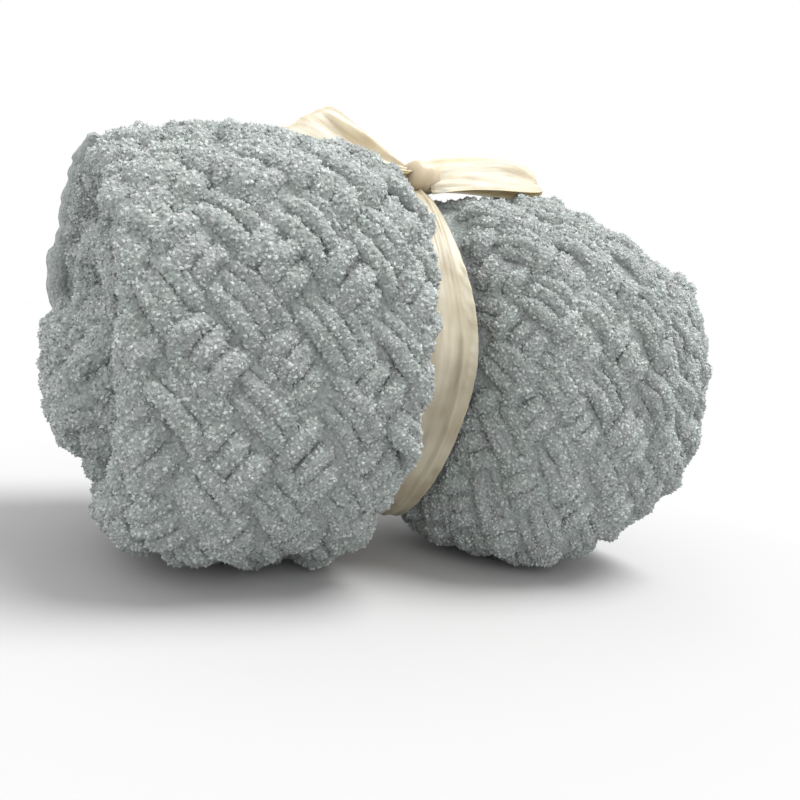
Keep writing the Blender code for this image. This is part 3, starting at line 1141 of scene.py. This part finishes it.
# %% [markdown]
# ## Satin
# Satin is smooth and softly shiny, because its threads run long and flat over the weave. Up close its shine
# breaks into fine streaks along the ribbon. A plain glossy colour would look like plastic. So two noises read
# the map that each strip carries: one is drawn out lengthwise for the streaks, which make a low relief and
# also lighten and darken the colour as painted sheen, and the other is finer still, for the threads, and only
# roughens the surface. A third, cloudy one makes the cream a little uneven.

# %% Satin material
SATIN_TONES_AND_SHEEN = (0.38, (0.35, 0.290, 0.198)), (0.62, (0.55, 0.470, 0.342))
STREAKS = (22.0, 170.0, 1.0)
THREADS = (300.0, 2600.0, 1.0)
CLOUDS = 45.0


def drawn_out(tree, cloth, waves, detail):
    """A noise with its own number of waves a metre along and across the ribbon."""
    stretched = add(tree, "ShaderNodeVectorMath", {0: cloth, 1: waves}, operation="MULTIPLY").outputs[0]
    return add(tree, "ShaderNodeTexNoise", {"Vector": stretched, "Scale": 1.0, "Detail": detail}).outputs[0]


def satin_material():
    """The colour with its painted sheen streaks, the relief and the shine of the ribbon."""
    material = bpy.data.materials.new("cream satin")
    material.use_nodes = True
    tree = material.node_tree
    shader = tree.nodes["Principled BSDF"]
    cloth = add(tree, "ShaderNodeUVMap", uv_map="cloth").outputs["UV"]
    place = add(tree, "ShaderNodeTexCoord").outputs["Object"]
    streak_relief_and_sheen = drawn_out(tree, cloth, STREAKS, 2.0)
    cloud = add(tree, "ShaderNodeTexNoise", {"Vector": place, "Scale": CLOUDS, "Detail": 1.0}).outputs[0]
    # The colour follows the streaks, lighter and darker bands of painted sheen, and the cloud, an uneven tone
    # of the cream.
    painted_sheen_and_tone = math_node(tree, "ADD", math_node(tree, "MULTIPLY", streak_relief_and_sheen, 0.6),
                      math_node(tree, "MULTIPLY", cloud, 0.4))
    tree.links.new(two_tones(tree, painted_sheen_and_tone, *SATIN_TONES_AND_SHEEN), shader.inputs["Base Color"])
    weave = drawn_out(tree, cloth, THREADS, 1.0)
    height = math_node(tree, "ADD", math_node(tree, "MULTIPLY", weave, 0.12), streak_relief_and_sheen)
    bump = add(tree, "ShaderNodeBump", {"Strength": 0.6, "Distance": 0.0012, "Height": height})
    tree.links.new(bump.outputs["Normal"], shader.inputs["Normal"])
    shader.inputs["Roughness"].default_value = 0.36
    shader.inputs["Sheen Weight"].default_value = 0.05
    shader.inputs["Specular IOR Level"].default_value = 0.35
    shader.inputs["Subsurface Weight"].default_value = 0.7
    shader.inputs["Subsurface Radius"].default_value = (1.0, 0.85, 0.6)
    shader.inputs["Subsurface Scale"].default_value = 0.006
    return material


satin = satin_material()
for thing in (band, tied, *loops.values()):
    thing.data.materials.clear()
    thing.data.materials.append(satin)
print(satin.name, "goes from", SATIN_TONES_AND_SHEEN[0][1], "to", SATIN_TONES_AND_SHEEN[1][1])


# %% [markdown]
# ## Floor and light
# The bundle lies on a plain pale floor in white surroundings. One lamp could light it, but its shadows would
# hide the knit. As in a bright room, the main light is broad and comes from above and a little from the
# right, and two weaker ones fill in from the front and from the left. Suns with a wide angle do that at any
# distance. Each is given by its name, its strength, its angle in degrees and the way that its light goes.

# %% Studio
FLOOR_SHADE = 0.42
FLOOR_BELOW = 0.0005
FLOOR_HALF = 6
LIGHTS = (
    ("window", 3.9, 32, (-0.36, 0.20, -1.0)),
    ("front", 0.8, 50, (0.30, 0.85, -0.40)),
    ("left", 1.0, 60, (1.0, 0.10, -0.30)),
)


def studio():
    """The floor, the white surroundings and the lights."""
    mesh = bmesh.new()
    bmesh.ops.create_grid(mesh, x_segments=1, y_segments=1, size=FLOOR_HALF)
    floor = as_object("floor", mesh)
    floor.location.z = -FLOOR_BELOW
    pale = bpy.data.materials.new("pale floor")
    pale.use_nodes = True
    shader = pale.node_tree.nodes["Principled BSDF"]
    shader.inputs["Base Color"].default_value = (FLOOR_SHADE, FLOOR_SHADE, FLOOR_SHADE, 1)
    shader.inputs["Roughness"].default_value = 0.9
    floor.data.materials.append(pale)
    world = bpy.data.worlds.new("studio")
    world.use_nodes = True
    background = world.node_tree.nodes["Background"]
    background.inputs["Color"].default_value = (1, 1, 1, 1)
    background.inputs["Strength"].default_value = 1.0
    bpy.context.scene.world = world
    for name, energy, angle, way in LIGHTS:
        sun = bpy.data.lights.new(name, "SUN")
        sun.angle = math.radians(angle)
        sun.energy = energy
        lamp = new_object(name, sun)
        lamp.rotation_mode = "QUATERNION"
        lamp.rotation_quaternion = Vector(way).to_track_quat("-Z", "Y")


studio()
print("Lights:", ", ".join(name for name, _, _, _ in LIGHTS))


# %% [markdown]
# ## Handing over
# Every piece rides on the one body of the bundle, and the solid that it stands for is hidden.

# %% Riding, and hiding the solids
for piece in (*knit_pieces, core):
    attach(piece, "root")
    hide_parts("blanket")
for piece, node in ((band, "ribbon_band"), (tied, "bow_knot"), *((loops[n], n) for n in LOOPS)):
    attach(piece, "root")
    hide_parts(node)
